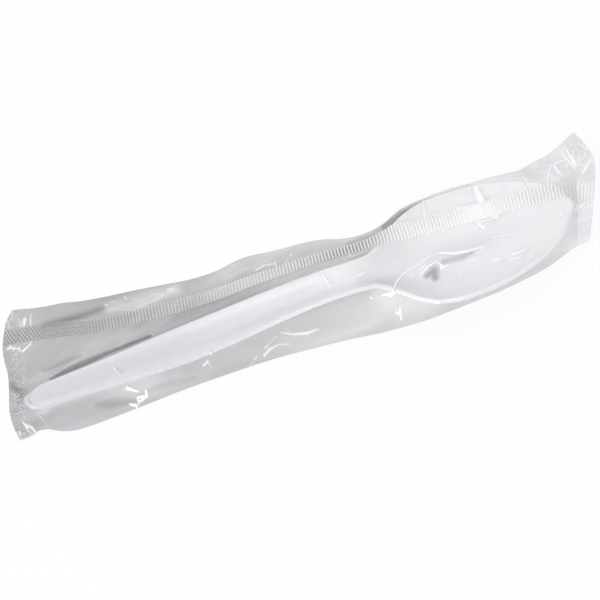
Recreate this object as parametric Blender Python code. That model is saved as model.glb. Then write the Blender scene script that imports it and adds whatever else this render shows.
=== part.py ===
"""A disposable teaspoon sealed in a clear flow-wrap pouch.

The spoon is one moulding: a channelled handle that runs into an egg-shaped bowl.
The pouch is one film folded into a tube. A ribbed fin seal runs along its top, and
each end is pressed flat into a ribbed crimp.

Lengths are in millimetres and are turned into metres when a mesh is made. X runs along
the spoon from the handle's tip to the bowl's nose, Y to the far side, and Z is up from
the table. Both pieces are moved at the end, so that the origin is the middle of their
box on the table.
"""

import math

import bmesh
import bpy
import numpy as np

MM = 0.001

# Spoon, seen from above
SPOON_LENGTH = 152.0
BOWL_WIDTH = 32.6
BOWL_HEEL = 24.0  # from the bowl's widest line back to where its heel would close
BOWL_NOSE = 31.6  # from the bowl's widest line forward to its nose
HANDLE_WIDTH = 11.5
HANDLE_TIP_WIDTH = 8.3
NECK_WIDTH = 9.8
HANDLE_END_LENGTH = 6.5  # the rounded end of the handle
WIDEST_HANDLE = 48.0  # from the handle's tip
NECK_FROM_WIDEST_BOWL = 31.0
SHOULDER_BLEND = 6.0
HEEL_FULLNESS = 2.4  # power of the bowl's outline behind its widest line

# Spoon, seen from the side. Rises are measured from the rim at the bowl's widest line.
WALL = 1.1
BOWL_DEPTH = 7.5
CHANNEL_DEPTH = 1.9
CHANNEL_DEPTH_AT_TIP = 0.6
TIP_RISE = -6.8
HANDLE_BOW = 1.2  # how far the handle's middle hangs below a straight line
NECK_RISE = 1.6
HEEL_RISE = -0.3
NOSE_RISE = 2.1
RIM_INSET = 0.75  # how far the wall's sloping edge stands outside the hollow's edge
RIM_ROUND = 0.28
FULLNESS = 2.4  # power of the hollow's cross-section, 2 being a parabola

# Film, and how far its two side folds lie from the spoon
FILM = 0.06
AIR = 0.04  # between the two sheets where they lie on each other
CLEARANCE = 0.35  # between the film and the spoon
NEAR_ROOM_AT_TIP = 5.6
NEAR_SWELL = 2.9  # how far the near fold swings out past the handle's end
NEAR_ROOM = 5.0
FAR_ROOM_AT_TIP = 23.8
FAR_TAPER = 2.5  # how far the far fold closes in over the same stretch
FAR_ROOM = 14.5
FAR_SWELL = 1.1  # how far the far fold swings out past the handle's middle
NEAR_ROOM_AT_NECK = 8.1
FAR_ROOM_AT_NECK = 13.8
BOWL_ROOM = 1.2
NEAR_END = 11.0  # from the spoon's axis to the near corner of the right end
FAR_END = 20.5
NEAR_FOLD_DROP = 0.6  # from the bowl's rim down to the fold beside it
FAR_FOLD_DROP = 1.4
FOLD_RISE_LENGTH = 26.0  # from the neck to where the folds have risen beside the bowl
FOLD_REST = 0.9  # height of the folds beside the handle

# End crimps
CRIMP_LENGTH = 3.8
TIP_ROOM = 1.0  # between the handle's tip and the left crimp
NOSE_ROOM = 2.4
CRIMP_RIBS = 4
CRIMP_RIB_HEIGHT = 0.16
LEFT_LIFT = 1.2
RIGHT_LIFT = 6.4
RIGHT_TILT = 0.12  # rise of the right crimp towards its far corner
END_LEAN = 0.2  # how far the ends slant, along the pouch per width
BODY_LEAN = 0.05
LEAN_FADE = 25.0
VENT_COLUMN = 5

# Fin seal, as shares of the way from the near fold to the far one
FIN_WIDTH = 5.0
FIN_THICKNESS = 0.3
FIN_RIB_HEIGHT = 0.25
FIN_RIB_PITCH = 0.9
FIN_SHARE_AT_TIP = 0.79
FIN_SHARE_AT_HANDLE = 0.74
FIN_SHARE_AT_NECK = 0.81
FIN_SHARE_AT_BOWL = 0.73
FIN_SHARE_AT_NOSE = 0.56

# Mesh steps
SPOON_STATIONS = 52
SPOON_ACROSS = 12
RIBS_PER_ROW = 4
NEAR_COLUMNS = 10
FIN_COLUMNS = 2
FAR_COLUMNS = 3
DRAPE_PASSES = 500
TOP_PULL = 0.02
BOTTOM_PULL = 0.5

WIDEST_BOWL = SPOON_LENGTH - BOWL_NOSE
NECK = WIDEST_BOWL - NECK_FROM_WIDEST_BOWL
FIN_START = NEAR_COLUMNS
FIN_END = NEAR_COLUMNS + FIN_COLUMNS
COLUMNS = NEAR_COLUMNS + FIN_COLUMNS + FAR_COLUMNS
SHEETS = 2.0 * FILM + AIR


def smooth_step(t):
    """0 to 1 with level ends."""
    t = np.clip(t, 0.0, 1.0)
    return t * t * (3.0 - 2.0 * t)


def curve_through(points, x):
    """A smooth curve through (position, value) points, level beyond its ends."""
    at, value = (np.array(c, float) for c in zip(*points))
    slope = np.gradient(value, at)
    x = np.clip(x, at[0], at[-1])
    i = np.clip(np.searchsorted(at, x) - 1, 0, len(at) - 2)
    step = at[i + 1] - at[i]
    t = (x - at[i]) / step
    start = (1 + 2 * t) * (1 - t) ** 2 * value[i] + t * (1 - t) ** 2 * step * slope[i]
    end = t * t * (3 - 2 * t) * value[i + 1] - t * t * (1 - t) * step * slope[i + 1]
    return start + end


def soft_max(a, b, blend):
    """The larger of a and b, with the corner between them rounded over blend."""
    near = np.clip(1.0 - np.abs(a - b) / blend, 0.0, 1.0)
    return np.maximum(a, b) + 0.25 * blend * near * near


def handle_half_width(x, inset):
    """Half the handle's width: a rounded end, a swell and a slim neck."""
    swell = smooth_step((x - HANDLE_END_LENGTH) / (WIDEST_HANDLE - HANDLE_END_LENGTH))
    slim = smooth_step((x - WIDEST_HANDLE) / (NECK - WIDEST_HANDLE))
    width = HANDLE_TIP_WIDTH + (HANDLE_WIDTH - HANDLE_TIP_WIDTH) * swell
    width = width + (NECK_WIDTH - HANDLE_WIDTH) * slim
    t = np.clip((HANDLE_END_LENGTH - x) / (HANDLE_END_LENGTH - inset), 0.0, 1.0)
    return (0.5 * width - inset) * np.sqrt(1.0 - t * t)


def bowl_half_width(x, inset):
    """Half the bowl's width: a heel that closes in a flare, and half an ellipse as the nose."""
    back = np.clip((WIDEST_BOWL - x) / (BOWL_HEEL - inset), 0.0, None)
    forward = np.clip((x - WIDEST_BOWL) / (BOWL_NOSE - inset), 0.0, 1.0)
    shape = np.where(x < WIDEST_BOWL, 1.0 - back**HEEL_FULLNESS, np.sqrt(1.0 - forward**2))
    return (0.5 * BOWL_WIDTH - inset) * shape


def half_width(x, inset=0.0):
    """Half the spoon's width at x, with rounded shoulders where handle and bowl meet."""
    x = np.asarray(x, float)
    handle = handle_half_width(np.minimum(x, WIDEST_BOWL), inset)
    bowl = bowl_half_width(x, inset)
    joined = soft_max(handle, bowl, SHOULDER_BLEND)
    return np.where(x > WIDEST_BOWL, bowl, joined)


def hollow_depth(x):
    """Depth of the channel in the handle, deepening into the bowl."""
    x = np.asarray(x, float)
    along = smooth_step(x / WIDEST_HANDLE)
    channel = CHANNEL_DEPTH_AT_TIP + (CHANNEL_DEPTH - CHANNEL_DEPTH_AT_TIP) * along
    reach = np.where(x < WIDEST_BOWL, NECK_FROM_WIDEST_BOWL, BOWL_NOSE)
    t = np.clip(np.abs(x - WIDEST_BOWL) / reach, 0.0, 1.0)
    bowl = BOWL_DEPTH * (1.0 - t**FULLNESS)
    fade = smooth_step((WIDEST_BOWL - x) / NECK_FROM_WIDEST_BOWL)
    return np.where(x > WIDEST_BOWL, bowl, soft_max(bowl, channel * fade, 1.0))


def rim_profile(x):
    """Height of the spoon's upper edge above the rim at the bowl's widest line."""
    points = [
        (0.0, TIP_RISE),
        (0.5 * NECK, 0.5 * (TIP_RISE + NECK_RISE) - HANDLE_BOW),
        (NECK, NECK_RISE),
        (WIDEST_BOWL - 0.5 * BOWL_HEEL, HEEL_RISE),
        (WIDEST_BOWL, 0.0),
        (SPOON_LENGTH, NOSE_RISE),
    ]
    return curve_through(points, x)


def lowest_rim_height():
    """Height that the rim needs at the bowl's widest line for the spoon to lie on the film."""
    x = np.linspace(0.0, SPOON_LENGTH, 400)
    return FILM + CLEARANCE + WALL + float(np.max(hollow_depth(x) - rim_profile(x)))


RIM_HEIGHT = lowest_rim_height()


def rim_height(x):
    """Height of the spoon's upper edge above the table."""
    return RIM_HEIGHT + rim_profile(x)


def spoon_underside(x, y):
    """Height of the spoon's lower surface, or a great height beside the spoon."""
    half = half_width(x)
    share = np.abs(y) / np.maximum(half, 0.01)
    under = rim_height(x) - hollow_depth(x) * (1.0 - share**FULLNESS) - WALL
    return np.where(share < 1.0, under, 1000.0)


def mesh_object(name, bm, material):
    mesh = bpy.data.meshes.new(name)
    bm.to_mesh(mesh)
    bm.free()
    mesh.materials.append(material)
    obj = bpy.data.objects.new(name, mesh)
    bpy.context.scene.collection.objects.link(obj)
    return obj


def plain_material(name, colour, roughness, alpha=1.0):
    material = bpy.data.materials.new(name)
    material.use_nodes = True
    shader = material.node_tree.nodes["Principled BSDF"]
    shader.inputs["Base Color"].default_value = (*colour, 1.0)
    shader.inputs["Roughness"].default_value = roughness
    shader.inputs["Metallic"].default_value = 0.0
    shader.inputs["Alpha"].default_value = alpha
    return material


def spoon_stations():
    """Stations along the spoon, close together at its ends and through the shoulders."""
    handle_count = round(0.42 * SPOON_STATIONS)
    bowl_count = SPOON_STATIONS - handle_count
    start = RIM_INSET
    end = SPOON_LENGTH - RIM_INSET
    handle_turn = 0.5 * math.pi * np.linspace(0.0, 1.0, handle_count + 1)
    bowl_turn = 0.5 * math.pi * np.linspace(0.0, 1.0, bowl_count + 1)
    handle = start + (NECK - start) * (1.0 - np.cos(handle_turn))
    bowl = NECK + (end - NECK) * np.sin(bowl_turn)
    return np.concatenate([handle, bowl[1:]])


def make_spoon(material):
    """The hollow upper surface, with its wall from a solidify and its round edge from a bevel."""
    bm = bmesh.new()
    stations = spoon_stations()
    across = np.sin(0.5 * math.pi * np.linspace(-1.0, 1.0, SPOON_ACROSS + 1))
    rows = []
    for x in stations[1:-1]:
        y = across * half_width(x, RIM_INSET)
        z = rim_height(x) - hollow_depth(x) * (1.0 - np.abs(across) ** FULLNESS)
        rows.append([bm.verts.new((x * MM, b * MM, c * MM)) for b, c in zip(y, z)])
    tip = bm.verts.new((stations[0] * MM, 0.0, rim_height(stations[0]) * MM))
    nose = bm.verts.new((stations[-1] * MM, 0.0, rim_height(stations[-1]) * MM))
    for a, b in zip(rows, rows[1:]):
        for j in range(SPOON_ACROSS):
            bm.faces.new((a[j], b[j], b[j + 1], a[j + 1]))
    for j in range(SPOON_ACROSS):
        bm.faces.new((tip, rows[0][j], rows[0][j + 1]))
        bm.faces.new((rows[-1][j], nose, rows[-1][j + 1]))
    obj = mesh_object("spoon", bm, material)
    obj.data.shade_smooth()
    wall = obj.modifiers.new("wall", "SOLIDIFY")
    wall.thickness = WALL * MM
    wall.offset = -1.0
    edge = obj.modifiers.new("round_edge", "BEVEL")
    edge.width = RIM_ROUND * MM
    edge.segments = 1
    edge.limit_method = "ANGLE"
    edge.angle_limit = math.radians(50.0)
    return obj


def beside_spoon(x):
    """Least distance from the spoon's axis to a fold, in a row that leans at x."""
    reach = END_LEAN * 0.5 * BOWL_WIDTH
    widest = np.maximum(half_width(x - reach), half_width(x + reach))
    return np.maximum(widest, half_width(x)) + BOWL_ROOM


def near_fold(x):
    """Distance from the spoon's axis to the film's near fold."""
    points = [
        (0.0, 0.5 * HANDLE_TIP_WIDTH + NEAR_ROOM_AT_TIP),
        (0.3 * WIDEST_HANDLE, 0.5 * HANDLE_TIP_WIDTH + NEAR_ROOM_AT_TIP + NEAR_SWELL),
        (WIDEST_HANDLE, 0.5 * HANDLE_WIDTH + NEAR_ROOM),
        (NECK, 0.5 * NECK_WIDTH + NEAR_ROOM_AT_NECK),
        (WIDEST_BOWL - 0.6 * BOWL_HEEL, 0.5 * BOWL_WIDTH + 0.75 * BOWL_ROOM),
        (WIDEST_BOWL, 0.5 * BOWL_WIDTH + BOWL_ROOM),
        (SPOON_LENGTH + NOSE_ROOM, NEAR_END),
    ]
    return soft_max(curve_through(points, x), beside_spoon(x), 1.0)


def far_fold(x):
    """Distance from the spoon's axis to the film's far fold."""
    points = [
        (0.0, 0.5 * HANDLE_TIP_WIDTH + FAR_ROOM_AT_TIP),
        (0.3 * WIDEST_HANDLE, 0.5 * HANDLE_TIP_WIDTH + FAR_ROOM_AT_TIP - FAR_TAPER),
        (WIDEST_HANDLE, 0.5 * HANDLE_WIDTH + FAR_ROOM),
        (1.4 * WIDEST_HANDLE, 0.5 * HANDLE_WIDTH + FAR_ROOM + FAR_SWELL),
        (NECK, 0.5 * NECK_WIDTH + FAR_ROOM_AT_NECK),
        (NECK + 0.3 * NECK_FROM_WIDEST_BOWL, 0.445 * BOWL_WIDTH + BOWL_ROOM),
        (WIDEST_BOWL - 0.6 * BOWL_HEEL, 0.475 * BOWL_WIDTH + BOWL_ROOM),
        (WIDEST_BOWL, 0.5 * BOWL_WIDTH + BOWL_ROOM),
        (WIDEST_BOWL + 0.6 * BOWL_NOSE, 0.41 * BOWL_WIDTH + BOWL_ROOM),
        (SPOON_LENGTH + NOSE_ROOM, FAR_END),
    ]
    return soft_max(curve_through(points, x), beside_spoon(x), 1.0)


def fin_share(x):
    """Where the fin's centre line lies, as a share of the way from near fold to far fold."""
    points = [
        (0.0, FIN_SHARE_AT_TIP),
        (WIDEST_HANDLE, FIN_SHARE_AT_HANDLE),
        (NECK, FIN_SHARE_AT_NECK),
        (WIDEST_BOWL, FIN_SHARE_AT_BOWL),
        (SPOON_LENGTH, FIN_SHARE_AT_NOSE),
    ]
    return curve_through(points, x)


def lean(x):
    """How far the film's rows slant: little along the body, more at the two ends."""
    left = 1.0 - smooth_step(x / LEAN_FADE)
    right = smooth_step((x - SPOON_LENGTH + LEAN_FADE) / LEAN_FADE)
    return BODY_LEAN + (END_LEAN - BODY_LEAN) * np.maximum(left, right)


def crimp_rows(start):
    """Rows of a crimp from start, two to a rib."""
    return start + CRIMP_LENGTH * np.linspace(0.0, 1.0, 2 * CRIMP_RIBS + 1)


def film_rows():
    """Rows along the film, and the first and last of them that hold the cavity."""
    left = crimp_rows(-TIP_ROOM - CRIMP_LENGTH)
    right = crimp_rows(SPOON_LENGTH + NOSE_ROOM)
    first = -0.3 * TIP_ROOM
    last = SPOON_LENGTH + 0.4 * NOSE_ROOM
    count = round((last - first) / (RIBS_PER_ROW * FIN_RIB_PITCH))
    body = np.linspace(first, last, count + 1)
    rows = np.concatenate([left, body, right])
    return rows, len(left) - 1, len(left) + len(body)


def film_grid(rows):
    """X and Y of the film's grid, whose columns follow the folds and the fin's edges."""
    near = -near_fold(rows)
    far = far_fold(rows)
    fin = near + (far - near) * fin_share(rows)
    stretches = [
        (near, fin - 0.5 * FIN_WIDTH, NEAR_COLUMNS),
        (fin - 0.5 * FIN_WIDTH, fin + 0.5 * FIN_WIDTH, FIN_COLUMNS),
        (fin + 0.5 * FIN_WIDTH, far, FAR_COLUMNS),
    ]
    columns = [near]
    for a, b, count in stretches:
        columns += [a + (b - a) * k / count for k in range(1, count + 1)]
    y = np.stack(columns, axis=1)
    x = rows[:, None] + lean(rows)[:, None] * y
    return x, y


def fold_height(rows, side):
    """Height of a fold: near the table beside the handle, near the rim beside the bowl."""
    carried = smooth_step((rows - NECK) / FOLD_RISE_LENGTH)
    beside_bowl = rim_height(rows) - np.where(side > 0.0, FAR_FOLD_DROP, NEAR_FOLD_DROP)
    height = FOLD_REST + (beside_bowl - FOLD_REST) * carried
    end = end_height(side)
    ending = smooth_step((rows - SPOON_LENGTH + 22.0) / (22.0 + NOSE_ROOM))
    return height + (end - height) * ending


def end_height(y):
    """Height of the right crimp at a distance y from the spoon's axis."""
    return RIGHT_LIFT + RIGHT_TILT * y


def drape(height, floor, ceiling, pull):
    """Let a sheet with fixed borders settle between a floor and a ceiling."""
    for _ in range(DRAPE_PASSES):
        mean = height[:-2, 1:-1] + height[2:, 1:-1] + height[1:-1, :-2] + height[1:-1, 2:]
        settled = 0.25 * mean - pull
        settled = np.maximum(settled, floor[1:-1, 1:-1])
        height[1:-1, 1:-1] = np.minimum(settled, ceiling[1:-1, 1:-1])
    return height


def crimp_ribs(count):
    """Heights of a crimp's rows, alternately up and down, level where it meets the body."""
    ribs = 0.5 * CRIMP_RIB_HEIGHT * (-1.0) ** np.arange(count)
    ribs[-1] = 0.0
    return ribs


def film_heights(rows, x, y, first, last):
    """Outer heights of the film's lower and upper sheets."""
    start = np.zeros_like(x)
    start[: first + 1] = LEFT_LIFT
    start[last:] = end_height(y[last:])
    start[first:last, 0] = fold_height(rows[first:last], y[first:last, 0])
    start[first:last, -1] = fold_height(rows[first:last], y[first:last, -1])
    start[first, :] = LEFT_LIFT
    body = slice(first, last + 1)

    under = spoon_underside(x, y) - CLEARANCE - FILM
    low = start.copy()
    low[body] = drape(low[body], np.zeros_like(x[body]), under[body], BOTTOM_PULL)

    spacing = RIBS_PER_ROW * FIN_RIB_PITCH
    spread = np.maximum(half_width(x - 0.5 * spacing), half_width(x + 0.5 * spacing))
    spread = np.maximum(spread, half_width(x)) + 0.5 * FIN_WIDTH
    beside = (x > -TIP_ROOM) & (x < SPOON_LENGTH + NOSE_ROOM)
    over = beside & (np.abs(y) < spread)
    lid = np.where(over, rim_height(x) + CLEARANCE + FILM, -1000.0)
    lid = np.maximum(lid, low + SHEETS)
    high = np.maximum(start, lid)
    high[body, 0] = low[body, 0] + SHEETS
    high[body, -1] = low[body, -1] + SHEETS
    high[first] = low[first] + SHEETS
    high[last:] = low[last:] + SHEETS
    high[body] = drape(high[body], lid[body], np.full_like(x[body], 1000.0), TOP_PULL)
    high[: first + 1] = low[: first + 1] + SHEETS

    ribs = crimp_ribs(first + 1)[:, None]
    for sheet in (low, high):
        sheet[: first + 1] += ribs
        sheet[last:] += ribs[::-1]
    return low, high


def add_points(bm, x, y, z):
    """A grid of vertices from three grids of millimetres."""
    shape = x.shape
    return [
        [bm.verts.new((x[i, j] * MM, y[i, j] * MM, z[i, j] * MM)) for j in range(shape[1])]
        for i in range(shape[0])
    ]


def add_sheet(bm, grid, skip=()):
    """Faces over a grid of vertices, without the columns in skip.

    Every cell is split along the same diagonal, so that sheets which lie on each other
    never cross between their vertices.
    """
    for a, b in zip(grid, grid[1:]):
        for j in range(len(a) - 1):
            if j not in skip:
                bm.faces.new((a[j], b[j], b[j + 1]))
                bm.faces.new((a[j], b[j + 1], a[j + 1]))


def add_cavity(bm, x, y, low, high, first, last):
    """The inside faces of the pouch, and a vent from them through the left crimp."""
    body = slice(first, last + 1)
    inner_y = y.copy()
    inner_y[:, 0] += FILM
    inner_y[:, -1] -= FILM
    roof = add_points(bm, x[body], inner_y[body], high[body] - FILM)
    ground = add_points(bm, x[body], inner_y[body], low[body] + FILM)
    add_sheet(bm, roof)
    add_sheet(bm, ground)
    for j in (0, -1):
        add_sheet(bm, [[g[j], r[j]] for g, r in zip(ground, roof)])
    add_sheet(bm, [roof[0], ground[0]], skip=(VENT_COLUMN,))
    add_sheet(bm, [ground[-1], roof[-1]])

    pair = slice(VENT_COLUMN, VENT_COLUMN + 2)
    crimp = slice(0, first)
    vent_roof = add_points(bm, x[crimp, pair], y[crimp, pair], high[crimp, pair] - FILM)
    vent_ground = add_points(bm, x[crimp, pair], y[crimp, pair], low[crimp, pair] + FILM)
    vent_roof.append(roof[0][pair])
    vent_ground.append(ground[0][pair])
    ring = [[r[0], r[1], g[1], g[0], r[0]] for r, g in zip(vent_roof, vent_ground)]
    add_sheet(bm, ring)
    return vent_roof[0], vent_ground[0]


def add_vented_end(bm, top, bottom, vent_top, vent_bottom):
    """The cut edge of the left crimp, with the vent's mouth left open."""
    add_sheet(bm, [bottom, top], skip=(VENT_COLUMN,))
    j = VENT_COLUMN
    bm.faces.new((top[j], top[j + 1], vent_top[1], vent_top[0]))
    bm.faces.new((vent_bottom[0], vent_bottom[1], bottom[j + 1], bottom[j]))
    bm.faces.new((top[j], vent_top[0], vent_bottom[0], bottom[j]))
    bm.faces.new((vent_top[1], top[j + 1], bottom[j + 1], vent_bottom[1]))


def between(a, b, share):
    return a.co.lerp(b.co, share)


def fin_steps(row, next_row):
    """Number of half ribs between two rows."""
    return 2 * max(1, round((next_row - row) / FIN_RIB_PITCH))


def add_fin(bm, top, rows, first, last):
    """The ribbed fin between its two columns, and the sheet on each side that meets it."""
    feet = {FIN_START: [top[first][FIN_START]], FIN_END: [top[first][FIN_END]]}
    cells = []
    for i in range(first, last):
        steps = fin_steps(rows[i], rows[i + 1])
        for j, foot in feet.items():
            a = top[i][j]
            b = top[i + 1][j]
            foot += [bm.verts.new(between(a, b, k / steps)) for k in range(1, steps)]
            foot.append(b)
        cells.append(steps)
    near, far = feet[FIN_START], feet[FIN_END]
    crests = []
    for k, (a, b) in enumerate(zip(near, far)):
        rise = FIN_THICKNESS + (FIN_RIB_HEIGHT if k % 2 else 0.0)
        middle = top_middle(bm, top, rows, cells, first, k)
        crests.append([lifted(bm, p, rise) for p in (a.co, middle, b.co)])
    add_sheet(bm, crests)
    add_sheet(bm, [near, [c[0] for c in crests]])
    add_sheet(bm, [[c[-1] for c in crests], far])
    for k, end in ((0, first), (len(near) - 1, last)):
        centre = top[end][FIN_START + 1]
        bm.faces.new((near[k], centre, far[k], crests[k][2], crests[k][1], crests[k][0]))
    return near, far, cells


def lifted(bm, point, rise):
    return bm.verts.new((point[0], point[1], point[2] + rise * MM))


def top_middle(bm, top, rows, cells, first, k):
    """The sheet's point under the middle of the fin at half rib k."""
    i = first
    for steps in cells:
        if k <= steps:
            break
        k -= steps
        i += 1
    steps = cells[min(i - first, len(cells) - 1)]
    return between(top[i][FIN_START + 1], top[i + 1][FIN_START + 1], k / steps)


def add_sheet_beside_fin(bm, top, first, cells, near, far):
    """The cells of the sheet that share their edge with the fin's feet."""
    start = 0
    for i, steps in enumerate(cells, first):
        stretch = range(start, start + steps)
        a = top[i][FIN_START - 1]
        bm.faces.new((a, top[i + 1][FIN_START - 1], near[start + steps]))
        for k in stretch:
            bm.faces.new((a, near[k + 1], near[k]))
        b = top[i + 1][FIN_END + 1]
        bm.faces.new((far[start], b, top[i][FIN_END + 1]))
        for k in stretch:
            bm.faces.new((far[k], far[k + 1], b))
        start += steps


def make_film(material):
    """The closed tube of film, hollow, with its crimps, fin and vent."""
    bm = bmesh.new()
    rows, first, last = film_rows()
    x, y = film_grid(rows)
    low, high = film_heights(rows, x, y, first, last)

    top = add_points(bm, x, y, high)
    bottom = add_points(bm, x, y, low)
    add_sheet(bm, top[: first + 1])
    add_sheet(bm, top[last:])
    beside = (FIN_START - 1, FIN_END)
    under_fin = tuple(range(FIN_START, FIN_END))
    add_sheet(bm, top[first : last + 1], skip=beside + under_fin)
    near, far, cells = add_fin(bm, top, rows, first, last)
    add_sheet_beside_fin(bm, top, first, cells, near, far)
    add_sheet(bm, bottom)
    add_sheet(bm, [[b[0], t[0]] for b, t in zip(bottom, top)])
    add_sheet(bm, [[t[-1], b[-1]] for b, t in zip(bottom, top)])
    add_sheet(bm, [top[-1], bottom[-1]])

    vent_top, vent_bottom = add_cavity(bm, x, y, low, high, first, last)
    add_vented_end(bm, top[0], bottom[0], vent_top, vent_bottom)
    bmesh.ops.recalc_face_normals(bm, faces=bm.faces)
    return mesh_object("film_wrapper", bm, material)


def centre_on_table(objects):
    """Move everything together, so that the origin is the middle of the box on the table."""
    bpy.context.view_layer.update()
    corners = np.array([v.co for obj in objects for v in obj.data.vertices])
    low = corners.min(axis=0)
    high = corners.max(axis=0)
    shift = np.array([0.5 * (low[0] + high[0]), 0.5 * (low[1] + high[1]), low[2]])
    for obj in objects:
        obj.location = -shift


def main():
    for old in list(bpy.data.objects):
        bpy.data.objects.remove(old)
    white = plain_material("white_polypropylene", (0.93, 0.93, 0.94), 0.35)
    clear = plain_material("clear_film", (0.92, 0.94, 0.95), 0.1, alpha=0.3)
    spoon = make_spoon(white)
    film = make_film(clear)
    centre_on_table([film, spoon])


main()
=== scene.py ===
"""Looks of a disposable teaspoon that lies face up in a clear flow-wrap pouch.

Lengths are in millimetres and are turned into metres when a mesh is made. The shapes are
worked out in the spoon's own frame: X runs from the handle's tip to the bowl's nose, Y to
the far side and Z up from the table. They are then moved onto the frame's own solids. The
film's creases are strokes that were read from the photograph, in its pixels, and they are
laid on the film along the camera's rays.
"""

import math
from collections import namedtuple

import bmesh
import bpy
import numpy as np
from mathutils import Matrix, Vector
from mathutils.bvhtree import BVHTree


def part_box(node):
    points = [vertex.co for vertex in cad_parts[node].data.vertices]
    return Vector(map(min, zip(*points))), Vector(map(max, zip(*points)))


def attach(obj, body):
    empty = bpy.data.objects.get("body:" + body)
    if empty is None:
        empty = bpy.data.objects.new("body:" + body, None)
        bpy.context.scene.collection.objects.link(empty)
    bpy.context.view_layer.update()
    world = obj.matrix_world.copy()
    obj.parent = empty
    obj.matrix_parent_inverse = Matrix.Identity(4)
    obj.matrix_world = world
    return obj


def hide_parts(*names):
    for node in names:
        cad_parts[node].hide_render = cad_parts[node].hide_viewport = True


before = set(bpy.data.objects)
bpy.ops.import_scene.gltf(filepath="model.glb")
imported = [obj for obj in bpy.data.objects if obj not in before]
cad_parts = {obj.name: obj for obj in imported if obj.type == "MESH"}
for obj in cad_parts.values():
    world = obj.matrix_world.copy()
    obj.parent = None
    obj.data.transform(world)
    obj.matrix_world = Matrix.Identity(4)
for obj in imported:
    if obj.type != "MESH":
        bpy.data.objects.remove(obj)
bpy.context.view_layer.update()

MM = 0.001

# Camera, as read from the photograph
PIXELS = 600  # each way across the picture
PIXELS_PER_MM = 3.80
ELEVATION = 60.0  # degrees above the table
ROLL = 18.5  # degrees about the camera's own axis
DISTANCE = 600.0
SENSOR = 36.0
LOOK_AT = (77.1, 1.25, 5.0)

# Spoon, seen from above
SPOON_LENGTH = 152.0
BOWL_WIDTH = 32.6
BOWL_HEEL = 24.0
BOWL_NOSE = 31.6
HANDLE_WIDTH = 11.5
HANDLE_TIP_WIDTH = 8.3
NECK_WIDTH = 9.8
HANDLE_END_LENGTH = 6.5
WIDEST_HANDLE = 48.0
NECK_FROM_WIDEST_BOWL = 31.0
SHOULDER_BLEND = 6.0
HEEL_FULLNESS = 2.4  # power of the bowl's outline behind its widest line

# Spoon, seen from the side
WALL = 1.1
BOWL_DEPTH = 7.5
CHANNEL_DEPTH = 1.9
CHANNEL_DEPTH_AT_TIP = 0.6
TIP_RISE = -6.8
HANDLE_BOW = 1.2  # how far the handle's middle hangs below a straight line
NECK_RISE = 1.6
HEEL_RISE = -0.3
NOSE_RISE = 2.1
RIM_INSET = 0.75
RIM_ROUND = 0.3
FULLNESS = 2.4
# The band is a painted shade along the handle's channel
BAND_OFFSET = 1.7  # of the darker band along the channel, from the axis to the near side
BAND_WIDTH = 1.4
BAND_TONE = [
    (0.0, 0.0),
    (8.0, 0.4),
    (30.0, 0.5),
    (60.0, 1.0),
    (84.0, 0.9),
    (98.0, 0.5),
    (106.0, 0.0),
]
SPOON_STATIONS = 200
SPOON_ACROSS = 48

# Film's outline and folds
TIP_ROOM = 0.4
NOSE_ROOM = 1.8
BOWL_ROOM = 1.2
CRIMP_LENGTH = 4.6
LEFT_LIFT = 1.2  # height of the left crimp above the table
RIGHT_LIFT = 6.4
RIGHT_TILT = 0.12
END_LEAN = 0.2
BODY_LEAN = 0.05
LEAN_FADE = 25.0
END_FADE = 10.0
FOLD_REST = 0.9
FOLD_DROP = 0.6  # from the bowl's rim down to the fold beside it
FAR_FOLD_DROP = 2.4
FOLD_RISE_LENGTH = 26.0  # from the neck to where the folds have risen beside the bowl
FOLD_END_LENGTH = 22.0  # before the nose, where the folds begin to meet the right crimp

# Film's surface
GAP = 0.05  # between the two sheets where they lie on each other
TABLE_GAP = 0.03
CLEARANCE = 0.25  # between the film and the spoon
COVER_MARGIN = 0.35  # round the spoon's edge, where the film still lies on it
SAG_SHARE = 0.08  # sag of the film over the hollow, as a share of the hollow's depth
WAVE_HEIGHT = 0.14
WAVE_FADE = 6.0  # from a crimp to where the waves have their full height
FREE = 1000.0  # where nothing limits a sheet

# How the film settles: on finer and finer grids, drawn to the spoon and the table
LEVELS = 5
COARSE_ROWS = 40
COARSE_COLUMNS = 9
COARSE_PASSES = 400
TOP_PULL = 0.096  # on the coarsest grid
BOTTOM_PULL = 0.48

# Creases
CREASE_SOFTNESS = 0.45
CREASE_CORE = 0.65
CREASE_RELIEF = 0.35  # share of a crease's height that shows in the sheet
PATCH_SOFTNESS = 1.4  # as a share of a patch's half width
SHADE_SOFTNESS = 3.2
BESIDE_FILM = 5.0  # height at which a point just past the film's edge is taken

# Fin seal
FIN_WIDTH = 5.0
FIN_LIFT = 0.25
FIN_END_ROOM = 0.3
FIN_RIB_HEIGHT = 0.05
FIN_RIB_PITCH = 0.9
FIN_TOOTH = 0.14
FIN_HATCH_PITCH = 1.5
FIN_HATCH_FADE = 14.0  # where the cross hatching begins to fade, and how long it takes
SAMPLES_PER_RIB = 7
FIN_ACROSS = 36

# Depth of the painted shade in the ribs' valleys along the fin:
# (distance from the handle's tip, contrast)
FIN_CONTRAST = [
    (-5.0, 0.9),
    (10.0, 1.0),
    (28.0, 0.55),
    (44.0, 0.42),
    (58.0, 0.36),
    (72.0, 0.3),
    (84.0, 0.6),
    (94.0, 1.2),
    (104.0, 0.35),
    (150.0, 0.2),
]
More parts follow.
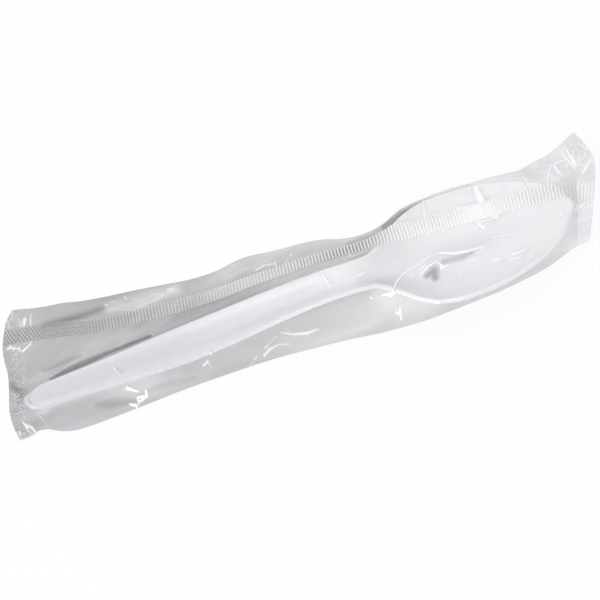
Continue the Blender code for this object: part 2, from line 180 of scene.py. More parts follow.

# Painted highlight on the ribs' crests, and painted sheen over the whole band, along the fin
FIN_CRESTS = [(-5.0, 0.5), (44.0, 0.45), (60.0, 0.7), (94.0, 0.95), (150.0, 0.85)]
FIN_SHEEN = [
    (-5.0, 0.0),
    (40.0, 0.1),
    (60.0, 0.45),
    (80.0, 0.25),
    (92.0, 0.0),
    (104.0, 0.4),
    (122.0, 0.45),
    (127.0, 0.8),
    (131.0, 0.8),
    (136.0, 0.45),
    (150.0, 0.35),
]

WIDEST_BOWL = SPOON_LENGTH - BOWL_NOSE
NECK = WIDEST_BOWL - NECK_FROM_WIDEST_BOWL
FILM_START = -TIP_ROOM - CRIMP_LENGTH
FILM_END = SPOON_LENGTH + NOSE_ROOM + CRIMP_LENGTH


def smooth_step(t):
    """0 to 1 with level ends."""
    t = np.clip(t, 0.0, 1.0)
    return t * t * (3.0 - 2.0 * t)


def curve_through(points, x):
    """A smooth curve through (position, value) points, level beyond its ends."""
    at, value = (np.array(c, float) for c in zip(*points))
    slope = np.gradient(value, at)
    x = np.clip(x, at[0], at[-1])
    i = np.clip(np.searchsorted(at, x) - 1, 0, len(at) - 2)
    step = at[i + 1] - at[i]
    t = (x - at[i]) / step
    start = (1 + 2 * t) * (1 - t) ** 2 * value[i] + t * (1 - t) ** 2 * step * slope[i]
    end = t * t * (3 - 2 * t) * value[i + 1] - t * t * (1 - t) * step * slope[i + 1]
    return start + end


def soft_max(a, b, blend):
    """The larger of a and b, with the corner between them rounded over blend."""
    near = np.clip(1.0 - np.abs(a - b) / blend, 0.0, 1.0)
    return np.maximum(a, b) + 0.25 * blend * near * near


# Meshes


def add_surface(bm, points):
    """Quads over a grid of points given in millimetres; returns the grid of vertices."""
    grid = [[bm.verts.new(p * MM) for p in row] for row in points]
    for a, b in zip(grid, grid[1:]):
        for j in range(len(a) - 1):
            bm.faces.new((a[j], b[j], b[j + 1], a[j + 1]))
    return grid


def finished_object(name, bm, material):
    """A smooth-shaded object from a mesh in the making."""
    mesh = bpy.data.meshes.new(name)
    bm.to_mesh(mesh)
    bm.free()
    mesh.shade_smooth()
    mesh.materials.append(material)
    obj = bpy.data.objects.new(name, mesh)
    bpy.context.scene.collection.objects.link(obj)
    return obj


def set_values(piece, name, values):
    """Give each vertex of a piece a number that its material reads by name."""
    attribute = piece.data.attributes.new(name, "FLOAT", "POINT")
    attribute.data.foreach_set("value", np.ascontiguousarray(values, np.float32).ravel())


# Spoon's form


def handle_half_width(x, inset):
    """Half the handle's width: a rounded end, a swell and a slim neck."""
    swell = smooth_step((x - HANDLE_END_LENGTH) / (WIDEST_HANDLE - HANDLE_END_LENGTH))
    slim = smooth_step((x - WIDEST_HANDLE) / (NECK - WIDEST_HANDLE))
    width = HANDLE_TIP_WIDTH + (HANDLE_WIDTH - HANDLE_TIP_WIDTH) * swell
    width = width + (NECK_WIDTH - HANDLE_WIDTH) * slim
    t = np.clip((HANDLE_END_LENGTH - x) / (HANDLE_END_LENGTH - inset), 0.0, 1.0)
    return (0.5 * width - inset) * np.sqrt(1.0 - t * t)


def bowl_half_width(x, inset):
    """Half the bowl's width: a heel that closes in a flare, and half an ellipse as the nose."""
    back = np.clip((WIDEST_BOWL - x) / (BOWL_HEEL - inset), 0.0, None)
    forward = np.clip((x - WIDEST_BOWL) / (BOWL_NOSE - inset), 0.0, 1.0)
    shape = np.where(x < WIDEST_BOWL, 1.0 - back**HEEL_FULLNESS, np.sqrt(1.0 - forward**2))
    return (0.5 * BOWL_WIDTH - inset) * shape


def half_width(x, inset=0.0):
    """Half the spoon's width at x, with rounded shoulders where handle and bowl meet."""
    x = np.asarray(x, float)
    handle = handle_half_width(np.minimum(x, WIDEST_BOWL), inset)
    bowl = bowl_half_width(x, inset)
    joined = soft_max(handle, bowl, SHOULDER_BLEND)
    return np.where(x > WIDEST_BOWL, bowl, joined)


def hollow_depth(x):
    """Depth of the channel in the handle, deepening into the bowl."""
    x = np.asarray(x, float)
    along = smooth_step(x / WIDEST_HANDLE)
    channel = CHANNEL_DEPTH_AT_TIP + (CHANNEL_DEPTH - CHANNEL_DEPTH_AT_TIP) * along
    reach = np.where(x < WIDEST_BOWL, NECK_FROM_WIDEST_BOWL, BOWL_NOSE)
    t = np.clip(np.abs(x - WIDEST_BOWL) / reach, 0.0, 1.0)
    bowl = BOWL_DEPTH * (1.0 - t**FULLNESS)
    fade = smooth_step((WIDEST_BOWL - x) / NECK_FROM_WIDEST_BOWL)
    return np.where(x > WIDEST_BOWL, bowl, soft_max(bowl, channel * fade, 1.0))


def rim_profile(x):
    """Height of the spoon's upper edge above the rim at the bowl's widest line."""
    points = [
        (0.0, TIP_RISE),
        (0.5 * NECK, 0.5 * (TIP_RISE + NECK_RISE) - HANDLE_BOW),
        (NECK, NECK_RISE),
        (WIDEST_BOWL - 0.5 * BOWL_HEEL, HEEL_RISE),
        (WIDEST_BOWL, 0.0),
        (SPOON_LENGTH, NOSE_RISE),
    ]
    return curve_through(points, x)


CAD_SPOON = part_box("spoon")
RIM_HEIGHT = CAD_SPOON[1][2] / MM - NOSE_RISE


def rim_height(x):
    """Height of the spoon's upper edge above the table."""
    return RIM_HEIGHT + rim_profile(x)


def spoon_stations():
    """Stations along the spoon, close together at its ends and through the shoulders."""
    handle_count = round(0.42 * SPOON_STATIONS)
    bowl_count = SPOON_STATIONS - handle_count
    start = RIM_INSET
    end = SPOON_LENGTH - RIM_INSET
    handle_turn = 0.5 * math.pi * np.linspace(0.0, 1.0, handle_count + 1)
    bowl_turn = 0.5 * math.pi * np.linspace(0.0, 1.0, bowl_count + 1)
    handle = start + (NECK - start) * (1.0 - np.cos(handle_turn))
    bowl = NECK + (end - NECK) * np.sin(bowl_turn)
    return np.concatenate([handle, bowl[1:]])


def painted_channel_shade(x, y):
    """Painted shade along the handle's channel, where its near wall lies in shade."""
    along = curve_through(BAND_TONE, x)
    return along * np.exp(-(((y + BAND_OFFSET) / BAND_WIDTH) ** 2))


def make_spoon(material):
    """The hollow upper surface, with its wall from a solidify and its round edge from a bevel."""
    bm = bmesh.new()
    stations = spoon_stations()
    across = np.sin(0.5 * math.pi * np.linspace(-1.0, 1.0, SPOON_ACROSS + 1))
    x = np.repeat(stations[1:-1, None], len(across), axis=1)
    y = across[None, :] * half_width(x, RIM_INSET)
    z = rim_height(x) - hollow_depth(x) * (1.0 - np.abs(across) ** FULLNESS)
    rows = add_surface(bm, np.stack([x, y, z], axis=-1))
    for x_end, row, turn in ((stations[0], rows[0], 1), (stations[-1], rows[-1], -1)):
        point = bm.verts.new((x_end * MM, 0.0, float(rim_height(x_end)) * MM))
        for a, b in zip(row, row[1:]):
            bm.faces.new((point, a, b)[::turn])
    spoon = finished_object("spoon_body", bm, material)
    wall = spoon.modifiers.new("wall", "SOLIDIFY")
    wall.thickness = WALL * MM
    wall.offset = -1.0
    edge = spoon.modifiers.new("round_edge", "BEVEL")
    edge.width = RIM_ROUND * MM
    edge.segments = 3
    edge.limit_method = "ANGLE"
    edge.angle_limit = math.radians(50.0)
    places = np.array([v.co for v in spoon.data.vertices]) / MM
    # Painted shade along the channel, as values that the material reads
    set_values(spoon, "band", painted_channel_shade(places[:, 0], places[:, 1]))
    return spoon


# Film's form


def beside_spoon(x):
    """Least distance from the spoon's axis to a fold, in a row that leans at x."""
    reach = END_LEAN * 0.5 * BOWL_WIDTH
    widest = np.maximum(half_width(x - reach), half_width(x + reach))
    return np.maximum(widest, half_width(x)) + BOWL_ROOM


def near_fold(x):
    """Distance from the spoon's axis to the film's near fold."""
    route = [
        (-5.0, 10.0),
        (0.0, 9.6),
        (2.5, 8.9),
        (5.5, 9.4),
        (8.6, 11.1),
        (12.0, 12.2),
        (16.0, 12.4),
        (21.0, 12.2),
        (32.0, 11.6),
        (40.0, 11.1),
        (52.0, 10.8),
        (68.0, 10.9),
        (76.0, 11.5),
        (84.0, 12.2),
        (91.0, 13.1),
        (95.8, 14.4),
        (102.3, 16.2),
        (108.7, 17.6),
        (WIDEST_BOWL, 0.5 * BOWL_WIDTH + BOWL_ROOM),
        (144.0, 12.2),
        (149.5, 10.8),
        (FILM_END, 9.7),
    ]
    return soft_max(curve_through(route, x), beside_spoon(x), 1.0)


def far_fold(x):
    """Distance from the spoon's axis to the film's far fold."""
    route = [
        (-5.0, 29.0),
        (7.0, 26.9),
        (13.0, 26.2),
        (19.5, 24.9),
        (28.8, 23.5),
        (34.5, 22.8),
        (42.5, 21.6),
        (50.0, 20.5),
        (57.0, 20.4),
        (64.0, 21.6),
        (74.0, 20.7),
        (87.0, 19.2),
        (93.5, 16.9),
        (98.5, 15.7),
        (104.0, 15.9),
        (108.0, 17.3),
        (WIDEST_BOWL, 0.5 * BOWL_WIDTH + BOWL_ROOM),
        (136.3, 16.6),
        (141.3, 15.9),
        (144.3, 16.7),
        (147.6, 17.2),
        (152.0, 19.0),
        (FILM_END, 21.2),
    ]
    return soft_max(curve_through(route, x), beside_spoon(x), 1.0)


def fin_line(x):
    """Distance from the spoon's axis to the middle of the fin."""
    route = [
        (-5.0, 21.5),
        (7.0, 19.4),
        (25.0, 15.6),
        (36.0, 14.1),
        (47.0, 12.5),
        (69.0, 11.3),
        (90.0, 10.5),
        (106.0, 9.1),
        (127.0, 7.2),
        (149.0, 4.4),
        (FILM_END, 3.0),
    ]
    return curve_through(route, x)


def lean(x):
    """How far the film's rows slant: little along the body, more at the two ends."""
    left = 1.0 - smooth_step(x / LEAN_FADE)
    right = smooth_step((x - SPOON_LENGTH + LEAN_FADE) / LEAN_FADE)
    return BODY_LEAN + (END_LEAN - BODY_LEAN) * np.maximum(left, right)


def left_end(y):
    """X of the left end's cut edge: a shallow S with its far corner pulled in."""
    route = [
        (-10.0, -4.1),
        (-6.0, -4.9),
        (-2.0, -5.1),
        (5.5, -3.8),
        (9.8, -3.1),
        (16.4, -3.0),
        (19.5, -2.5),
        (22.7, -1.5),
        (26.3, 0.1),
        (28.9, 2.2),
    ]
    return curve_through(route, y)


def right_end(y):
    """X of the right end's cut edge, with both corners pulled in."""
    route = [
        (-10.3, 152.6),
        (-9.6, 153.4),
        (-6.0, 155.4),
        (0.5, 158.4),
        (5.8, 160.7),
        (10.1, 162.3),
        (12.6, 162.7),
        (15.2, 162.3),
        (18.7, 161.3),
        (21.2, 160.3),
    ]
    return curve_through(route, y)


def end_height(y):
    """Height of the right crimp at a distance y from the spoon's axis."""
    return RIGHT_LIFT + RIGHT_TILT * y


def fold_height(rows, side):
    """Height of a fold: near the table beside the handle, near the rim beside the bowl."""
    carried = smooth_step((rows - NECK) / FOLD_RISE_LENGTH)
    beside_bowl = rim_height(rows) - np.where(side > 0.0, FAR_FOLD_DROP, FOLD_DROP)
    height = FOLD_REST + (beside_bowl - FOLD_REST) * carried
    ending = smooth_step((rows - SPOON_LENGTH + FOLD_END_LENGTH) / (FOLD_END_LENGTH + NOSE_ROOM))
    return height + (end_height(side) - height) * ending


def row_x(s, y):
    """X along the film's row s at a distance y from the spoon's axis."""
    near_left = 1.0 - smooth_step((s - FILM_START) / END_FADE)
    near_right = 1.0 - smooth_step((FILM_END - s) / END_FADE)
    x = s + lean(s) * y
    x = x + near_left * (left_end(y) - FILM_START - END_LEAN * y)
    return x + near_right * (right_end(y) - FILM_END - END_LEAN * y)


def film_grid(rows, columns):
    """Row positions, X and Y of a grid over the film."""
    s = np.linspace(FILM_START, FILM_END, rows)
    q = np.linspace(0.0, 1.0, columns)
    near = -near_fold(s)[:, None]
    far = far_fold(s)[:, None]
    y = near + (far - near) * q[None, :]
    return s, row_x(s[:, None], y), y


def settle(height, floor, ceiling, fixed, pull, passes):
    """Let a sheet settle between a floor and a ceiling, holding its fixed points."""
    for _ in range(passes):
        mean = height[:-2, 1:-1] + height[2:, 1:-1] + height[1:-1, :-2] + height[1:-1, 2:]
        lower = np.maximum(0.25 * mean - pull, floor[1:-1, 1:-1])
        lower = np.minimum(lower, ceiling[1:-1, 1:-1])
        height[1:-1, 1:-1] = np.where(fixed[1:-1, 1:-1], height[1:-1, 1:-1], lower)
    return height


def refined(grid, rows, columns):
    """A grid resampled to more rows and columns."""
    r = np.linspace(0, grid.shape[0] - 1, rows)
    c = np.linspace(0, grid.shape[1] - 1, columns)
    along = np.stack([np.interp(r, np.arange(grid.shape[0]), col) for col in grid.T], axis=1)
    return np.stack([np.interp(c, np.arange(grid.shape[1]), row) for row in along])


def on_spoon(x, y):
    """Where the film lies on the spoon, and its distance from the axis, 1 at the edge."""
    half = half_width(x) + COVER_MARGIN
    inside = (np.abs(y) < half) & (x > -COVER_MARGIN) & (x < SPOON_LENGTH + COVER_MARGIN)
    return inside, np.clip(np.abs(y) / np.maximum(half, 0.01), 0.0, 1.0)


def spoon_cover(x, y):
    """Height of the film over the spoon, nearly taut from rim to rim, or far below beside it."""
    inside, share = on_spoon(x, y)
    sag = SAG_SHARE * hollow_depth(x) * (1.0 - share * share)
    return np.where(inside, rim_height(x) + CLEARANCE - sag, -FREE)


def spoon_under(x, y):
    """Height that the film must keep below the spoon, or far above where it is free."""
    inside, share = on_spoon(x, y)
    back = rim_height(x) - hollow_depth(x) * (1.0 - share**FULLNESS) - 1.25 * WALL
    return np.where(inside, back - CLEARANCE, FREE)


def waves(s, x, y):
    """Slack in the film: low waves that die out at its folds and its crimps."""
    slant = 2.0 * math.pi * (x + 0.7 * y) / 27.0
    cross = 2.0 * math.pi * (y - 0.12 * x) / 15.0
    ripple = 2.0 * math.pi * (x - 1.4 * y) / 9.0
    wave = np.sin(slant + 1.1) * np.sin(cross + 0.4) + 0.35 * np.sin(ripple + 2.0)
    inside = np.sin(math.pi * np.linspace(0.0, 1.0, x.shape[1]))[None, :]
    left = smooth_step((s + TIP_ROOM) / WAVE_FADE)[:, None]
    right = smooth_step((SPOON_LENGTH + NOSE_ROOM - s) / WAVE_FADE)[:, None]
    return WAVE_HEIGHT * wave * inside * left * right


def hold_edges(sheet, s, y, crimped, crimp_height, lift):
    """Put a sheet's folds and crimps at their own heights, raised by lift."""
    for edge in (0, -1):
        fold = fold_height(s, y[:, edge])
        sheet[:, edge] = np.where(crimped, crimp_height[:, edge], fold) + lift
    sheet[crimped] = crimp_height[crimped] + lift


def film_sheets():
    """Fine grids of the film: row positions, X, Y, and heights of its two sheets."""
    low = high = None
    for level in range(LEVELS):
        rows = COARSE_ROWS * 2**level + 1
        columns = COARSE_COLUMNS * 2**level + 1
        s, x, y = film_grid(rows, columns)
        crimped = (s < -TIP_ROOM) | (s > SPOON_LENGTH + NOSE_ROOM)
        crimp_height = np.where(s[:, None] < 0.5 * SPOON_LENGTH, LEFT_LIFT, end_height(y))
        if level == 0:
            low = crimp_height.copy()
            high = crimp_height.copy()
        else:
            low = refined(low, rows, columns)
            high = refined(high, rows, columns)
        hold_edges(low, s, y, crimped, crimp_height, 0.0)
        hold_edges(high, s, y, crimped, crimp_height, GAP)
        fixed = np.repeat(crimped[:, None], columns, axis=1)
        passes = COARSE_PASSES // (level + 1)
        finer = 0.25**level
        table = np.zeros_like(x)
        low = settle(low, table, spoon_under(x, y), fixed, BOTTOM_PULL * finer, passes)
        cover = np.maximum(spoon_cover(x, y), low + GAP)
        free = np.full_like(x, FREE)
        high = settle(np.maximum(high, cover), cover, free, fixed, TOP_PULL * finer, passes)
    low = np.maximum(low, TABLE_GAP)
    high = np.maximum(high + waves(s, x, y), np.maximum(low + GAP, cover))
    return s, x, y, low, high


# Creases

# A stroke's points are (x, y, half width) in the photograph's pixels, from its top left
# corner. The height is its ridge's, in millimetres, and the tone is how strongly white is painted
# on as a highlight, or for a shade how dark a painted shade is. A crease is the same with its
# points in millimetres on the film.
Stroke = namedtuple("Stroke", "name points height tone")
Crease = namedtuple("Crease", "name points height tone")

LEFT_END_STROKES = [
    Stroke("streak", [(12.4, 312, 0.4), (12, 320, 0.5)], 0.2, 0.85),
    Stroke("streak", [(5.7, 321.6, 0.3), (12.4, 328.3, 0.4)], 0.2, 0.8),
    Stroke("streak", [(19.1, 318.7, 0.5), (20.6, 330.2, 0.4)], 0.2, 0.75),
    Stroke("streak", [(25.8, 318.7, 0.6), (22.5, 335, 0.7)], 0.3, 0.95),
    Stroke("streak", [(30.6, 314, 0.5), (30.4, 328.3, 0.4)], 0.2, 0.75),
    Stroke("fold", [(7.7, 348.4, 0.8), (13, 348, 1), (18.2, 349.3, 0.8)], 0.3, 0.95),
    Stroke("fold", [(9.8, 343.6, 0.4), (10, 349.3, 0.5)], 0.2, 0.9),
    Stroke("fold", [(23.4, 423, 0.5), (26, 426, 1.1), (28.7, 427.8, 0.7)], 0.3, 1),
    Stroke("fold", [(19.1, 431.6, 0.5), (20.6, 435.5, 0.6)], 0.3, 0.95),
    Stroke("crimp inner edge", [(30.3, 318, 0.5), (30.6, 343, 0.5)], 0.2, 0.9),
    Stroke("scrunch", [(24.4, 318, 0.6), (21.5, 328, 0.6), (20.6, 337, 0.8), (22.5, 342, 0.3)], 0.25, 0.9),
    Stroke("scrunch", [(19.1, 319, 0.3), (19.6, 331, 0.5)], 0.15, 0.7),
    Stroke("scrunch", [(12.4, 313, 0.3), (12, 320, 0.5)], 0.15, 0.7),
    Stroke("scrunch", [(6.7, 321, 0.4), (10.5, 327, 0.4)], 0.15, 0.8),
    Stroke("fin corner fold", [(30.6, 344, 0.6), (22.6, 351.5, 0.9)], 0.25, 1),
    Stroke("sparkle", [(7.6, 350, 0.5), (10.4, 346, 0.8)], 0.2, 1),
    Stroke("sparkle", [(12.8, 351, 0.8), (14.2, 349, 0.5)], 0.2, 0.9),
    Stroke("sparkle", [(19, 347, 0.5), (19.8, 351, 0.8)], 0.2, 1),
    Stroke("sparkle", [(15.2, 354.5, 0.6), (16.6, 352.8, 0.4)], 0.2, 0.8),
    Stroke("sparkle", [(16, 365, 0.5), (13, 371, 0.3)], 0.2, 0.5),
    Stroke("tail curve", [(14.3, 369, 0.4), (24.9, 379, 0.5), (29, 388, 0.3)], 0.2, 0.4),
    Stroke("heat edge", [(36.4, 412, 0.6), (44, 421, 0.6), (48, 428, 0.4)], 0.2, 0.45),
    Stroke("corner shard", [(23.2, 421.5, 0.3), (26.5, 428, 0.8)], 0.25, 1),
    Stroke("corner shard", [(26.8, 424, 0.3), (32.5, 428.5, 1), (37, 433, 0.5)], 0.25, 1),
    Stroke("corner shard", [(25.8, 428.5, 0.4), (33, 434.5, 0.8)], 0.25, 0.9),
    Stroke("corner tip", [(17.7, 433, 0.4), (22.5, 439.5, 0.6)], 0.2, 0.7),
    Stroke("corner tip", [(19.5, 431, 0.3), (24, 436, 0.4)], 0.2, 0.6),
]

FAR_SIDE_STROKES = [
    Stroke("patch", [(112, 303, 3), (130, 306, 4.5), (150, 299, 4), (160, 295, 2)], 0.5, 0.45),
    Stroke("patch core", [(118, 309.5, 1), (133, 310, 1.6), (150, 302, 1.6), (156, 295, 1)], 0.3, 0.6),
    Stroke("spot", [(105.5, 305, 1), (108.5, 306, 0.6)], 0.2, 0.8),
    Stroke("spot", [(124, 297, 0.8), (126, 298.5, 0.8)], 0.2, 0.7),
    Stroke("spot", [(168, 290.5, 1.6), (172.5, 288.5, 1.2)], 0.3, 0.75),
    Stroke("arc", [(256, 270, 0.9), (264.5, 265, 0.7), (273.7, 263.8, 0.7)], 0.3, 0.9),
    Stroke("arc", [(262, 268, 0.4), (271, 266.5, 0.4)], 0.2, 0.7),
    Stroke("tick", [(275, 261.5, 0.7), (277.3, 270, 0.5)], 0.3, 0.9),
    Stroke("tick", [(280.8, 270, 0.6), (288, 258, 0.4)], 0.3, 0.8),
    Stroke("spot", [(290.4, 255.5, 0.6), (291.6, 254.4, 0.5)], 0.2, 1),
    Stroke("spot", [(290, 265.5, 1.2), (293, 268, 0.8)], 0.2, 0.5),
    Stroke("fan line", [(256, 262, 0.3), (262, 257, 0.3)], 0.15, 0.4),
    Stroke("fan line", [(262, 262, 0.3), (271, 257, 0.3)], 0.15, 0.4),
    Stroke("neck tick", [(349.5, 256, 0.6), (353.3, 249.6, 0.7), (357, 248.8, 0.5)], 0.25, 1),
]

HANDLE_STROKES = [
    Stroke("crinkle", [(113.5, 367.5, 0.5), (117.5, 373.5, 0.5)], 0.15, 0.9),
    Stroke("crinkle", [(118.8, 372.5, 0.4), (120.4, 377, 0.4)], 0.15, 0.9),
    Stroke("crinkle", [(114, 376, 0.4), (116.2, 373.8, 0.4)], 0.15, 0.8),
    Stroke("crinkle", [(208.5, 350.8, 0.6), (211.5, 354.5, 0.5)], 0.15, 1),
    Stroke("crinkle", [(206.5, 352.5, 0.3), (208, 356, 0.3)], 0.15, 0.8),
    Stroke("crinkle", [(203.2, 366, 0.5), (207.4, 362.3, 0.6)], 0.15, 1),
    Stroke("crinkle", [(207.2, 360.4, 0.5), (209.6, 364, 0.5)], 0.15, 0.9),
    Stroke("crinkle", [(210.2, 366.2, 0.4), (212, 368, 0.3)], 0.15, 0.8),
    Stroke("streak", [(323.2, 275.6, 1), (325.5, 280, 0.5), (328.8, 286.5, 0.6)], 0.2, 1),
    Stroke("streak", [(357.3, 275.8, 0.5), (361, 274.2, 0.8), (364.8, 272.4, 0.4)], 0.15, 1),
]

NEAR_SIDE_STROKES = [
    Stroke("shard", [(127.8, 388, 1.3), (133, 389.7, 0.7), (137.5, 391, 0.3)], 0.3, 1),
    Stroke("shard", [(146.2, 390.3, 0.5), (147.2, 396, 0.9)], 0.3, 1),
    Stroke("shard", [(147.2, 396, 0.9), (138.2, 396.8, 0.8)], 0.3, 1),
    Stroke("shard", [(144.5, 397.5, 1.1), (139.8, 401.5, 0.6), (136.8, 406.7, 0.5)], 0.3, 1),
    Stroke("shard", [(138.2, 397, 0.7), (138.8, 401, 0.5)], 0.3, 1),
    Stroke("shard", [(129.6, 403.8, 0.4), (135.4, 405, 1.3)], 0.3, 1),
    Stroke("sweep", [
        (280.8, 332.8, 0.3), (294, 334.4, 0.6), (307.3, 333.4, 0.9), (319, 329, 0.3),
    ], 0.35, 1),
    Stroke("hair", [(284.9, 328.2, 0.3), (290, 331.5, 0.3)], 0.15, 0.6),
    Stroke("streak", [(277.8, 335.3, 0.3), (264.5, 347.6, 0.4)], 0.2, 0.6),
    Stroke("streak", [
        (264, 356, 0.8), (270.6, 348.6, 0.7), (277.8, 345, 0.4), (291, 344, 0.3),
    ], 0.25, 0.95),
    Stroke("streak", [(264.8, 347.8, 0.7), (268, 346, 0.5)], 0.2, 0.8),
    Stroke("streak", [(254.2, 360, 0.5), (257.2, 356.4, 0.5)], 0.2, 0.8),
    Stroke("streak", [(250, 366.2, 0.4), (253, 362.7, 0.4)], 0.2, 0.7),
    Stroke("pale patch", [(283, 344, 3.5), (300, 342, 5), (308, 338, 2.5)], 0.3, 0.35),
    Stroke("tick", [(399.8, 308.5, 0.5), (400.4, 319.5, 0.4)], 0.2, 0.8),
    Stroke("tick", [(396.4, 313.4, 0.7), (398.4, 314.2, 0.5)], 0.2, 0.9),
    Stroke("spot", [(371, 298.2, 0.6), (372.5, 299.2, 0.6)], 0.2, 0.9),
]

BOWL_STROKES = [
    Stroke("sheen patch", [(476, 187, 1.6), (481, 200, 3), (485, 213, 2.8), (497, 216, 1.2)], 0.1, 0.8),
    Stroke("bridge fill", [
        (441, 253.6, 0.4), (456, 253.2, 1), (470, 250.2, 0.9), (484, 246.3, 0.4),
    ], 0.2, 1),
    Stroke("loop glint", [(440.5, 268.5, 0.9), (444, 266.5, 1.1), (449, 265.3, 0.4)], 0.2, 1),
    Stroke("rim glint", [(435.5, 300.5, 0.9), (440, 301, 1.2)], 0.2, 1),
    Stroke("left arm", [
        (390.5, 297, 0.5), (393.3, 290.5, 0.7), (396.8, 281.4, 0.7), (402.5, 274.3, 0.6),
        (416.5, 265.9, 0.4), (433.3, 254, 0.6),
    ], 0.35, 1),
    Stroke("left foot", [(393.5, 293.5, 1), (382.8, 295.4, 0.3)], 0.2, 1),
    Stroke("bridge", [
        (434.5, 253.4, 0.5), (442, 253.2, 1.2), (455, 253.6, 1.5), (467, 251.9, 1),
        (484.8, 246.2, 0.5),
    ], 0.5, 1),
    Stroke("right arm", [(484, 247.2, 0.5), (471.2, 260.3, 0.4)], 0.3, 0.75),
    Stroke("loop", [
        (420, 275.7, 0.7), (427.7, 267.3, 0.8), (436.1, 261.7, 0.6), (440.6, 264.5, 0.9),
        (441.7, 270.1, 0.7),
    ], 0.35, 1),
    Stroke("loop end", [(441.2, 268, 1.2), (448.8, 265.2, 0.3)], 0.25, 1),
    Stroke("heel tick", [(420.7, 268.7, 0.4), (426.3, 265.2, 0.4)], 0.15, 0.8),
    Stroke("heel tick", [(409.8, 276, 0.5), (414.2, 274, 0.4)], 0.15, 0.8),
    Stroke("heel tick", [(406.5, 285.8, 0.4), (410.4, 282.6, 0.3)], 0.15, 0.6),
    Stroke("sheen", [(474.5, 188, 2.2), (478.5, 198, 3.4), (486, 212, 4.2), (494, 217, 2.5)], 0.3, 0.65),
    Stroke("sheen foot", [(475.4, 221, 0.4), (483, 228.6, 1.2)], 0.25, 1),
    Stroke("sheen edge", [(474, 213, 0.7), (480, 222, 0.6), (498, 217, 0.5)], 0.2, 0.9),
    Stroke("column", [(423.5, 201.4, 0.9), (424.2, 218.2, 1), (427.7, 236.5, 1.2)], 0.2, 0.6),
    Stroke("long line", [
        (490.8, 237.4, 0.7), (503.5, 236.3, 0.5), (520.3, 232.2, 0.4), (548.4, 223.8, 0.3),
    ], 0.3, 0.9),
    Stroke("end tick", [(559.6, 217, 0.4), (561, 211, 0.4)], 0.2, 0.8),
    Stroke("rim blob", [(434, 300.2, 0.8), (437.8, 301.6, 1.5), (441.9, 300.6, 0.6)], 0.3, 1),
    Stroke("shard", [(511.9, 254.2, 1.1), (520.3, 252.4, 0.8), (526.2, 248.2, 0.4)], 0.3, 1),
    Stroke("shard", [(510.2, 259, 0.4), (520.5, 257.4, 0.6)], 0.2, 0.8),
    Stroke("shard", [(492.8, 260.4, 0.4), (496, 259.2, 1), (500, 259.8, 0.3)], 0.2, 1),
    Stroke("hatch", [(527, 257, 0.3), (531.5, 251.5, 0.3)], 0.15, 0.5),
    Stroke("hatch", [(530, 258.5, 0.3), (535, 252.5, 0.3)], 0.15, 0.5),
    Stroke("fleck", [(463.6, 189.6, 0.6), (465.8, 196, 0.4)], 0.2, 0.7),
    Stroke("fleck", [(502, 185.6, 0.6), (502.8, 190.4, 0.5)], 0.2, 0.6),
    Stroke("fleck", [(524.2, 177, 0.5), (526.6, 183.1, 0.9), (529.5, 189, 0.5)], 0.25, 0.8),
    Stroke("soft ray", [(440, 290, 1), (447, 283, 1.6)], 0.2, 0.3),
    Stroke("soft ray", [(452, 287, 0.4), (462, 274, 0.4)], 0.2, 0.45),
]

CORNER_STROKES = [
    Stroke("patch", [(553, 165, 0.8), (557, 170, 1.7), (563, 175.5, 0.8)], 0.3, 1),
    Stroke("fold", [(566.6, 150, 0.7), (571, 158, 1.1), (575, 167, 0.6)], 0.3, 0.95),
    Stroke("fold", [(562.4, 153, 0.5), (569.4, 162.1, 0.9), (575, 169.1, 0.7)], 0.4, 1),
    Stroke("fold", [(572.2, 150.9, 0.4), (575, 163.5, 0.8)], 0.4, 1),
    Stroke("fold", [(555.4, 163.5, 0.7), (568, 159, 0.7)], 0.3, 1),
    Stroke("patch", [(554.6, 164.5, 0.6), (557.4, 171, 1.4), (563.8, 176.4, 1)], 0.4, 1),
    Stroke("fold", [(551.2, 164.9, 0.7), (549.6, 172, 0.6), (547.7, 180.3, 0.5)], 0.3, 0.95),
    Stroke("fold", [(566.6, 163.5, 0.5), (570.8, 176.6, 0.5)], 0.3, 0.9),
    Stroke("fold", [(561, 166, 0.5), (568, 166.8, 0.5)], 0.3, 0.8),
    Stroke("edge fold", [(578.8, 143.2, 0.6), (587.9, 149.8, 0.9)], 0.3, 1),
    Stroke("fold", [(580.8, 153, 0.4), (576.4, 165.5, 0.6)], 0.3, 0.95),
    Stroke("fold", [(585.2, 153.4, 0.5), (579.3, 165.2, 0.4)], 0.3, 0.9),
    Stroke("patch", [(590.8, 160.5, 0.8), (585.2, 168.8, 1.4), (582, 174.7, 0.8)], 0.4, 1),
    Stroke("hair", [(536, 169.5, 0.3), (549, 166.8, 0.3)], 0.2, 0.5),
    Stroke("hair", [(541, 163, 0.3), (546, 157.5, 0.3)], 0.2, 0.5),
    Stroke("hair", [(558, 152, 0.3), (568, 146.5, 0.3)], 0.2, 0.6),
    Stroke("hair", [(560, 156, 0.3), (564, 150, 0.3)], 0.2, 0.6),
    Stroke("fringe", [(575, 180, 0.5), (573.4, 199, 0.4)], 0.2, 0.75),
    Stroke("fringe", [(579.4, 180, 0.6), (577.6, 205, 0.5)], 0.2, 0.8),
    Stroke("fringe", [(583.6, 181.5, 0.6), (580.8, 206, 0.4)], 0.2, 0.75),
    Stroke("fringe", [(571, 186, 0.3), (569.6, 196, 0.3)], 0.2, 0.6),
    Stroke("fringe fold", [(574.8, 214.2, 0.7), (579.5, 208.5, 0.8), (585, 204.2, 0.4)], 0.3, 1),
    Stroke("fringe fold", [(571.2, 210.5, 0.4), (572.8, 215.6, 0.4)], 0.2, 0.8),
]
